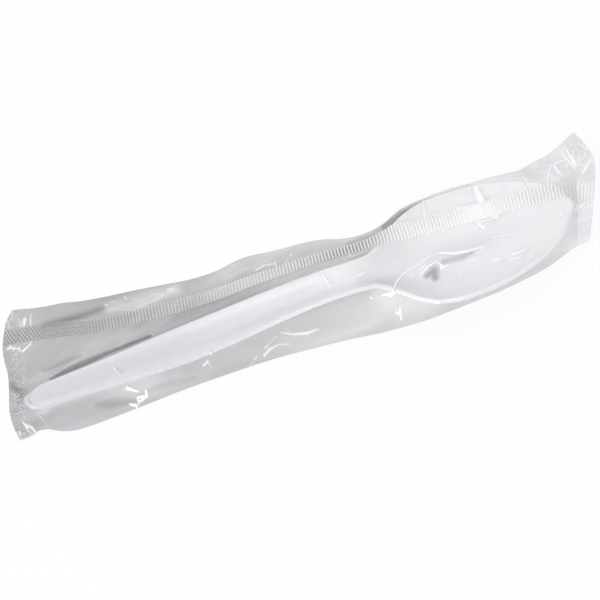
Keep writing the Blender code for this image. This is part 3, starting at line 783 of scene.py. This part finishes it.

# Painted shadows and shade on the lower sheet, beside the spoon and under the film's folds
SHADE_STROKES = [
    Stroke("above the fin", [(44, 325, 1.5), (75, 318, 3), (104, 308, 2), (130, 301, 1.2)], 0, 0.35),
    Stroke("by the handle", [
        (50, 379.5, 0.5), (62, 373, 1.3), (78, 365.5, 1.8), (94, 358.5, 1.7), (108, 352.5, 1.1),
        (150, 336, 0.7),
    ], 0, 0.8),
    Stroke("painted_shade", [(44, 371, 1.2), (62, 363, 1.4), (80, 355.5, 1)], 0, 0.25),
    Stroke("under the tip", [(98, 404.5, 2), (112, 404, 3.5), (134, 401, 1.5)], 0, 0.22),
    Stroke("near dip", [(150, 390, 2), (170, 383, 3), (195, 378, 1.5)], 0, 0.15),
    Stroke("crimp dip", [(12, 385, 2), (22, 393, 3), (20, 402, 1.5)], 0, 0.35),
    Stroke("under the neck", [(350, 262, 1.5), (372, 251, 1.2)], 0, 0.35),
    Stroke("neck", [(345, 236, 1), (372, 236, 1.5), (384, 226, 1.2)], 0, 0.35),
    Stroke("far rim", [(384, 228, 1.4), (402, 213, 1.6), (430, 200, 0.8), (470, 187, 0.5)], 0, 0.9),
]

UPPER_STROKES = LEFT_END_STROKES + FAR_SIDE_STROKES + HANDLE_STROKES
UPPER_STROKES += NEAR_SIDE_STROKES + BOWL_STROKES + CORNER_STROKES

# Broad painted sheen: white painted where the film's slack catches the light
PAINTED_SHEENS = [
    Crease(
        "over the far half of the bowl",
        [(102.0, 6.0, 1.6), (113.0, 10.0, 3.0), (128.0, 10.5, 3.4), (143.0, 8.5, 2.8)],
        0.0,
        0.3,
    ),
    Crease("neck", [(84.0, 2.5, 1.2), (95.0, 2.5, 2.2), (104.0, 3.5, 2.2)], 0.0, 0.2),
    Crease("right end", [(150.0, 12.0, 1.5), (156.0, 2.0, 1.5), (154.0, -6.0, 1.2)], 0.0, 0.3),
    Crease("far patch", [(28.0, 20.0, 1.2), (36.0, 18.5, 2.0), (46.0, 18.5, 1.4)], 0.0, 0.6),
    Crease("far fold", [(60.0, 16.5, 0.8), (72.0, 17.0, 1.2), (80.0, 15.0, 0.8)], 0.0, 0.3),
]

# Painted shade over the bowl's heel, where its hollow lies in shade under the film's folds
HEEL_SHADES = [
    Crease("loop", [(110.4, -6.0, 0.5), (112.6, -5.2, 0.8), (112.2, -7.4, 0.6)], 0.0, 1.0),
    Crease("bridge", [(115.8, -3.6, 0.5), (120.5, -4.2, 0.6), (123.5, -4.0, 0.3)], 0.0, 0.6),
]


def camera_turn():
    """The camera's rotation."""
    tilt = Matrix.Rotation(math.radians(90.0 - ELEVATION), 3, "X")
    return tilt @ Matrix.Rotation(math.radians(-ROLL), 3, "Z")


def sheet_tree(x, y, height):
    """A sheet's surface, in millimetres, in a form that rays can be tested against."""
    rows, columns = x.shape
    points = np.stack([x, y, height], axis=-1).reshape(-1, 3)
    corner = (np.arange(rows - 1)[:, None] * columns + np.arange(columns - 1)).ravel()
    quads = np.stack([corner, corner + 1, corner + columns + 1, corner + columns], axis=-1)
    return BVHTree.FromPolygons(points.tolist(), quads.tolist())


def laid_on(tree, strokes):
    """Creases on a sheet, where the camera's rays through the strokes' points meet it."""
    turn = camera_turn()
    start = Vector(LOOK_AT) + turn @ Vector((0.0, 0.0, DISTANCE))
    middle = 0.5 * PIXELS
    depth = PIXELS_PER_MM * DISTANCE
    creases = []
    for stroke in strokes:
        points = []
        for across, down, half_width_pixels in stroke.points:
            ray = turn @ Vector((across - middle, middle - down, -depth))
            place = tree.ray_cast(start, ray)[0]
            if place is None:
                place = start + ray * ((BESIDE_FILM - start.z) / ray.z)
            points.append((place.x, place.y, half_width_pixels / PIXELS_PER_MM))
        creases.append(Crease(stroke.name, points, stroke.height, stroke.tone))
    return creases


def crease_field(crease, x, y, patch_softness):
    """How strongly a crease shows at each place: 1 along its middle, 0 beyond its width."""
    field = np.zeros_like(x)
    for (ax, ay, a_width), (bx, by, b_width) in zip(crease.points, crease.points[1:]):
        length = math.hypot(bx - ax, by - ay)
        ux, uy = (bx - ax) / length, (by - ay) / length
        along = np.clip((x - ax) * ux + (y - ay) * uy, 0.0, length)
        distance = np.hypot(x - ax - along * ux, y - ay - along * uy)
        width = a_width + (b_width - a_width) * along / length
        softness = np.maximum(CREASE_SOFTNESS, patch_softness * width)
        field = np.maximum(field, smooth_step((width - distance) / softness + CREASE_CORE))
    return field


def add_creases(creases, x, y, patch_softness=PATCH_SOFTNESS):
    """Relief and tone of all the creases together."""
    relief = np.zeros_like(x)
    tone = np.zeros_like(x)
    for crease in creases:
        field = crease_field(crease, x, y, patch_softness)
        relief = np.maximum(relief, CREASE_RELIEF * crease.height * field)
        tone = np.maximum(tone, crease.tone * field)
    return relief, tone


# Film's pieces

# Painted shade of the clear film, as a grey tint along the pouch on each side:
# (distance from the handle's tip, tone)
NEAR_TONE = [
    (-5.0, 0.6),
    (0.0, 0.44),
    (22.0, 0.38),
    (50.0, 0.32),
    (82.0, 0.22),
    (120.0, 0.2),
    (150.0, 0.06),
]
MIDDLE_TONE = [
    (-5.0, 0.62),
    (0.0, 0.48),
    (12.0, 0.47),
    (40.0, 0.62),
    (92.0, 0.44),
    (120.0, 0.2),
    (150.0, 0.12),
]
FAR_TONE = [
    (-5.0, 0.6),
    (0.0, 0.45),
    (12.0, 0.5),
    (40.0, 0.5),
    (65.0, 0.39),
    (95.0, 0.2),
    (120.0, 0.2),
    (150.0, 0.05),
]
# Painted shade of the upper sheet along the pouch: (distance from the handle's tip, tone)
UPPER_TONE = [(-5.0, 0.17), (35.0, 0.16), (62.0, 0.06), (84.0, 0.0), (150.0, 0.0)]


def crinkle_share(s, x, y):
    """Where the film is crumpled: at its crimps and in the far corner of the right end."""
    left = 1.0 - smooth_step((s + TIP_ROOM + 0.6) / 1.4)
    right = smooth_step((s - SPOON_LENGTH - 1.0) / 2.0)
    corner = smooth_step((y - 8.0) / 3.0)
    return np.maximum(left[:, None] * np.ones_like(x), right[:, None] * corner)


def film_shade(x, y):
    """Painted shade on the clear film: most at the left and on the far side, least at the bowl."""
    near = curve_through(NEAR_TONE, x)
    middle = curve_through(MIDDLE_TONE, x)
    far = curve_through(FAR_TONE, x)
    tone = near + (middle - near) * smooth_step((y + 2.0) / 5.0)
    return tone + (far - tone) * smooth_step((y - 13.0) / 8.0)


def upper_shade(x, y):
    """Painted shade on the upper sheet, darkest at the left, and none over the handle's near half."""
    on_near_half = smooth_step((y + 6.5) / 2.0) * (1.0 - smooth_step((y + 3.0) / 2.0))
    return curve_through(UPPER_TONE, x) * (1.0 - on_near_half)


def make_upper_sheet(grid, material):
    """The sheet over the spoon, with its creases as low ridges and painted white glints, painted sheen and
    painted shade.
    """
    s, x, y, low, high = grid
    creases = laid_on(sheet_tree(x, y, high), UPPER_STROKES)
    relief, glint = add_creases(creases, x, y)
    painted_sheen = add_creases(PAINTED_SHEENS, x, y, SHADE_SOFTNESS)[1]
    heel = add_creases(HEEL_SHADES, x, y, SHADE_SOFTNESS)[1]
    bm = bmesh.new()
    add_surface(bm, np.stack([x, y, high + relief], axis=-1))
    sheet = finished_object("film_upper_sheet", bm, material)
    set_values(sheet, "glint", np.maximum(glint, painted_sheen))
    set_values(sheet, "shade", heel + upper_shade(x, y))
    set_values(sheet, "crinkle", crinkle_share(s, x, y))
    return sheet


def make_lower_sheet(grid, material):
    """The sheet on the table, on a coarser grid, with painted shadows and a painted grey shade of its own.
    """
    s, x, y, low, high = (part[::2] for part in grid)
    x, y, low = (part[:, ::-2] for part in (x, y, low))
    painted_shades_and_mottle = laid_on(sheet_tree(x, y, low), SHADE_STROKES)
    bm = bmesh.new()
    add_surface(bm, np.stack([x, y, low], axis=-1))
    sheet = finished_object("film_lower_sheet", bm, material)
    painted_shade = add_creases(painted_shades_and_mottle, x, y, SHADE_SOFTNESS)[1]
    set_values(sheet, "glint", np.zeros_like(x))
    set_values(sheet, "shade", film_shade(x, y) + painted_shade)
    set_values(sheet, "crinkle", crinkle_share(s, x, y))
    return sheet


def sheet_height(grid, s, y):
    """Height of the upper sheet at places given by the film's row and Y."""
    rows, gx, gy, low, high = grid
    row = np.interp(s, rows, np.arange(len(rows)))
    i = np.clip(row.astype(int), 0, len(rows) - 2)
    near = gy[i, 0]
    far = gy[i, -1]
    column = np.clip((y - near) / (far - near), 0.0, 1.0) * (gy.shape[1] - 1)
    j = np.clip(column.astype(int), 0, gy.shape[1] - 2)
    a = row - i
    b = column - j
    first = high[i, j] * (1 - b) + high[i, j + 1] * b
    second = high[i + 1, j] * (1 - b) + high[i + 1, j + 1] * b
    return first * (1 - a) + second * a


def make_fin(grid, material):
    """The ribbed fin seal, a flap that lies on the upper sheet with its toothed edge nearest."""
    count = round((FILM_END - FILM_START) / FIN_RIB_PITCH) * SAMPLES_PER_RIB
    s = np.linspace(FILM_START + FIN_END_ROOM, FILM_END - FIN_END_ROOM, count + 1)[:, None]
    across = np.linspace(-0.5, 0.5, FIN_ACROSS + 1)[None, :]
    free_edge = smooth_step((0.5 - across) / 0.3)
    ribs = np.sin(2.0 * math.pi * s / FIN_RIB_PITCH) * np.ones_like(across)
    tooth = FIN_TOOTH * ribs * smooth_step((-0.3 - across) / 0.2)
    y = fin_line(s) + FIN_WIDTH * across - tooth
    x = row_x(s, y)
    lift = FIN_LIFT * (0.4 + 0.6 * free_edge)
    z = sheet_height(grid, s + 0.0 * y, y) + lift + FIN_RIB_HEIGHT * ribs
    bm = bmesh.new()
    add_surface(bm, np.stack([x, y, z], axis=-1))
    fin = finished_object("fin_seal", bm, material)
    hatched = 1.0 - smooth_step((s - FIN_HATCH_FADE) / FIN_HATCH_FADE)
    hatch = np.sin(2.0 * math.pi * FIN_WIDTH * across / FIN_HATCH_PITCH)
    crest = 0.5 + 0.5 * ribs * (1.0 + hatched * (hatch - 1.0))
    bright = curve_through(FIN_CRESTS, s)
    depth = curve_through(FIN_CONTRAST, s) * (1.0 - 0.5 * smooth_step((across - 0.2) / 0.3))
    # Painted shade in the ribs' valleys, painted highlight on their crests and painted sheen over the band
    set_values(fin, "shade", depth * (1.0 - crest) + 0.0 * x)
    set_values(fin, "glint", np.maximum(bright * crest**2, curve_through(FIN_SHEEN, s)))
    set_values(fin, "crinkle", 0.0 * x)
    return fin


# Materials

PLASTIC = (0.93, 0.92, 0.935)
# Colour of the painted shade in the handle's channel
CHANNEL_SHADE_COLOUR = (0.82, 0.77, 0.8)
PLASTIC_ROUGHNESS = 0.32
PLASTIC_DEPTH = 1.5  # how deep light goes in before it comes out again
# White of the painted glints
GLINT = (0.97, 0.97, 0.98)
FILM_ROUGHNESS = 0.22
SPARK_LEAST = 0.6  # of the noise, above which a crumpled place sparkles
SPARK_TONE = 0.58
MOST_COVER = 0.96
TABLE_WHITE = 0.9

# Clear and dark are the colours that the film lets through, dark being the tint of its painted
# shade, cover is how much of it is seen as a surface, with a rise towards its edges, and smoke
# is how mottled it is.
FilmLook = namedtuple("FilmLook", "clear dark cover rise body mirror smoke")

UPPER_FILM = FilmLook(
    clear=(0.98, 0.98, 0.98),
    dark=(0.42, 0.42, 0.48),
    cover=0.09,
    rise=0.35,
    body=(0.7, 0.7, 0.72),
    mirror=0.35,
    smoke=0.12,
)
LOWER_FILM = FilmLook(
    clear=(0.93, 0.935, 0.96),
    dark=(0.22, 0.2, 0.2),
    cover=0.06,
    rise=0.2,
    body=(0.4, 0.39, 0.4),
    mirror=0.1,
    smoke=0.5,
)
FIN_FILM = FilmLook(
    clear=(0.98, 0.975, 0.97),
    dark=(0.3, 0.28, 0.26),
    cover=0.14,
    rise=0.3,
    body=(0.93, 0.925, 0.92),
    mirror=0.1,
    smoke=0.1,
)


def new_material(name):
    material = bpy.data.materials.new(name)
    material.use_nodes = True
    nodes = material.node_tree.nodes
    links = material.node_tree.links
    return material, nodes, links, nodes["Principled BSDF"]


def object_place(nodes):
    return nodes.new("ShaderNodeTexCoord").outputs["Object"]


def stretched(nodes, links, place, scale):
    """Object coordinates scaled apart along each axis."""
    mapping = nodes.new("ShaderNodeMapping")
    mapping.inputs["Scale"].default_value = scale
    links.new(place, mapping.inputs["Vector"])
    return mapping.outputs["Vector"]


def noise(nodes, links, place, scale, detail=2.0, distortion=0.0):
    texture = nodes.new("ShaderNodeTexNoise")
    texture.inputs["Scale"].default_value = scale
    texture.inputs["Detail"].default_value = detail
    texture.inputs["Distortion"].default_value = distortion
    links.new(place, texture.inputs["Vector"])
    return texture.outputs["Fac"]


def add_bump(nodes, links, shader, height, strength, distance):
    """A bump on a shader, over a distance in millimetres."""
    bump = nodes.new("ShaderNodeBump")
    bump.inputs["Strength"].default_value = strength
    bump.inputs["Distance"].default_value = distance * MM
    links.new(height, bump.inputs["Height"])
    links.new(bump.outputs["Normal"], shader.inputs["Normal"])
    return bump


def vertex_value(nodes, name):
    attribute = nodes.new("ShaderNodeAttribute")
    attribute.attribute_name = name
    return attribute.outputs["Fac"]


def combined(nodes, links, operation, *values):
    """Result of a math node, whose values are numbers or sockets."""
    node = nodes.new("ShaderNodeMath")
    node.operation = operation
    for socket, value in zip(node.inputs, values):
        if isinstance(value, float):
            socket.default_value = value
        else:
            links.new(value, socket)
    return node.outputs[0]


def mixed_colour(nodes, links, share, first, second):
    """A colour between two, by a share from a socket."""
    node = nodes.new("ShaderNodeMix")
    node.data_type = "RGBA"
    links.new(share, node.inputs[0])
    node.inputs[6].default_value = (*first, 1.0)
    node.inputs[7].default_value = (*second, 1.0)
    return node.outputs[2]


def mix_surfaces(nodes, links, share, first, second):
    """Make the material's surface a mix of two shaders, by a share from a socket."""
    mix = nodes.new("ShaderNodeMixShader")
    links.new(share, mix.inputs["Fac"])
    links.new(first.outputs[0], mix.inputs[1])
    links.new(second.outputs[0], mix.inputs[2])
    links.new(mix.outputs[0], nodes["Material Output"].inputs["Surface"])


def spoon_material():
    """White moulded plastic, with a faint flow pattern in its gloss and a painted shade along the handle's
    channel.
    """
    material, nodes, links, shader = new_material("white_moulded_plastic")
    band = vertex_value(nodes, "band")
    links.new(mixed_colour(nodes, links, band, PLASTIC, CHANNEL_SHADE_COLOUR), shader.inputs["Base Color"])
    shader.inputs["Roughness"].default_value = PLASTIC_ROUGHNESS
    shader.inputs["Specular IOR Level"].default_value = 0.45
    shader.inputs["Subsurface Weight"].default_value = 0.15
    shader.inputs["Subsurface Radius"].default_value = (1.0, 0.95, 0.9)
    shader.inputs["Subsurface Scale"].default_value = PLASTIC_DEPTH * MM
    place = object_place(nodes)
    add_bump(nodes, links, shader, noise(nodes, links, place, 900.0), 0.08, 0.05)
    return material


def film_darkness(nodes, links, place, look):
    """The piece's painted shade, mottled at random by long streaks of tone."""
    painted_shades_and_mottle = stretched(nodes, links, place, (40.0, 130.0, 40.0))
    smoke = noise(nodes, links, painted_shades_and_mottle, 1.0, 3.0, 0.6)
    smoke = combined(nodes, links, "MULTIPLY_ADD", smoke, look.smoke, -0.5 * look.smoke)
    shade = combined(nodes, links, "ADD", vertex_value(nodes, "shade"), smoke)
    limited = nodes.new("ShaderNodeClamp")
    links.new(shade, limited.inputs[0])
    return limited.outputs[0]


def film_glint(nodes, links, place, crinkle):
    """The piece's painted glints, with painted sparkles where it is crumpled."""
    speckle = noise(nodes, links, place, 2100.0, 2.0, 0.5)
    spark = combined(nodes, links, "GREATER_THAN", speckle, SPARK_LEAST)
    spark = combined(nodes, links, "MULTIPLY", spark, crinkle)
    spark = combined(nodes, links, "MULTIPLY", spark, SPARK_TONE)
    return combined(nodes, links, "MAXIMUM", vertex_value(nodes, "glint"), spark)


def film_cover(nodes, links, glint, look):
    """How much of the film is seen as a surface: more at a slant, and most in a glint."""
    facing = nodes.new("ShaderNodeLayerWeight")
    facing.inputs["Blend"].default_value = 0.3
    cover = combined(nodes, links, "MULTIPLY_ADD", facing.outputs["Facing"], look.rise, look.cover)
    cover = combined(nodes, links, "MAXIMUM", cover, glint)
    return combined(nodes, links, "MINIMUM", cover, MOST_COVER)


def add_film_bumps(nodes, links, shader, place, crinkle):
    """Long tension streaks everywhere, and crumples where the film is crinkled."""
    tension = noise(nodes, links, stretched(nodes, links, place, (50.0, 420.0, 200.0)), 1.0, 3.0)
    streaks = add_bump(nodes, links, shader, tension, 0.35, 0.3)
    crumple = noise(nodes, links, place, 750.0, 3.0, 1.0)
    crumple = combined(nodes, links, "MULTIPLY", crumple, crinkle)
    crumpled = add_bump(nodes, links, shader, crumple, 0.9, 0.5)
    links.new(streaks.outputs["Normal"], crumpled.inputs["Normal"])


def film_material(name, look):
    """Clear film: part of the light passes through, the rest meets a glossy surface."""
    material, nodes, links, shader = new_material(name)
    place = object_place(nodes)
    crinkle = vertex_value(nodes, "crinkle")
    darkness = film_darkness(nodes, links, place, look)
    glint = film_glint(nodes, links, place, crinkle)
    shader.inputs["Roughness"].default_value = FILM_ROUGHNESS
    shader.inputs["Specular IOR Level"].default_value = 0.8
    mirror = combined(nodes, links, "MULTIPLY_ADD", glint, -look.mirror, look.mirror)
    links.new(mirror, shader.inputs["Metallic"])
    links.new(mixed_colour(nodes, links, glint, look.body, GLINT), shader.inputs["Base Color"])
    clear = nodes.new("ShaderNodeBsdfTransparent")
    links.new(mixed_colour(nodes, links, darkness, look.clear, look.dark), clear.inputs[0])
    mix_surfaces(nodes, links, film_cover(nodes, links, glint, look), clear, shader)
    add_film_bumps(nodes, links, shader, place, crinkle)
    return material


def floor_material():
    """White table: plain white where the camera sees it lit, darker under the object."""
    material, nodes, links, shader = new_material("white_table")
    shader.inputs["Base Color"].default_value = (TABLE_WHITE, TABLE_WHITE, TABLE_WHITE, 1.0)
    shader.inputs["Roughness"].default_value = 0.9
    shader.inputs["Specular IOR Level"].default_value = 0.0
    glow = nodes.new("ShaderNodeEmission")
    glow.inputs["Strength"].default_value = 1.0
    ray = nodes.new("ShaderNodeLightPath").outputs
    share = combined(nodes, links, "MULTIPLY", ray["Is Camera Ray"], 0.9)
    mix_surfaces(nodes, links, share, shader, glow)
    return material


# Stage


def make_floor():
    bm = bmesh.new()
    bmesh.ops.create_grid(bm, x_segments=1, y_segments=1, size=2.5)
    floor = finished_object("table", bm, floor_material())


def area_light(name, place, aim, size, watts):
    """A white lamp of a size in metres that shines from a place to its aim."""
    data = bpy.data.lights.new(name, "AREA")
    data.shape = "RECTANGLE"
    data.size, data.size_y = size
    data.energy = watts
    lamp = bpy.data.objects.new(name, data)
    lamp.location = place
    lamp.rotation_euler = (Vector(aim) - Vector(place)).to_track_quat("-Z", "Y").to_euler()
    bpy.context.scene.collection.objects.link(lamp)


def make_lights():
    area_light("softbox", (-0.5, -0.75, 1.1), (0.0, 0.0, 0.0), (1.0, 0.7), 12.0)
    area_light("far_strip", (0.0, 0.95, 0.4), (0.0, 0.0, 0.02), (1.6, 0.3), 2.4)
    area_light("sheen_lamp", (0.25, 0.6, 1.1), (0.04, 0.0, 0.0), (0.8, 0.6), 2.2)
    world = bpy.data.worlds.new("studio")
    world.use_nodes = True
    background = world.node_tree.nodes["Background"]
    background.inputs["Color"].default_value = (0.97, 0.98, 1.0, 1.0)
    background.inputs["Strength"].default_value = 0.48
    bpy.context.scene.world = world


def make_camera(shift):
    """The photograph's camera, moved with the pieces by shift."""
    turn = camera_turn()
    place = Vector(LOOK_AT) + shift + turn @ Vector((0.0, 0.0, DISTANCE))
    data = bpy.data.cameras.new("camera")
    data.sensor_width = SENSOR
    data.lens = PIXELS_PER_MM * DISTANCE * SENSOR / PIXELS
    camera = bpy.data.objects.new("camera", data)
    camera.matrix_world = Matrix.Translation(place * MM) @ turn.to_4x4()
    bpy.context.scene.collection.objects.link(camera)
    bpy.context.scene.camera = camera


def place_on_frame(spoon, pieces):
    """Move all pieces, so that the spoon covers the CAD spoon; returns the move."""
    points = np.array([v.co for v in spoon.data.vertices])
    centre_x = 0.5 * (points[:, 0].min() + points[:, 0].max())
    cad = 0.5 * (CAD_SPOON[0] + CAD_SPOON[1])
    shift = Vector((cad.x - centre_x, cad.y, 0.0))
    for piece in pieces:
        piece.location = shift
    return shift / MM


def main():
    grid = film_sheets()
    spoon = make_spoon(spoon_material())
    film = [
        make_upper_sheet(grid, film_material("film_upper", UPPER_FILM)),
        make_lower_sheet(grid, film_material("film_lower", LOWER_FILM)),
        make_fin(grid, film_material("film_fin", FIN_FILM)),
    ]
    shift = place_on_frame(spoon, [spoon, *film])
    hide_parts("spoon")
    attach(spoon, "root")
    for piece in film:
        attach(piece, "root")
    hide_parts("film_wrapper")
    make_floor()
    make_lights()
    make_camera(shift)
    bpy.context.scene.view_settings.view_transform = "Standard"


main()
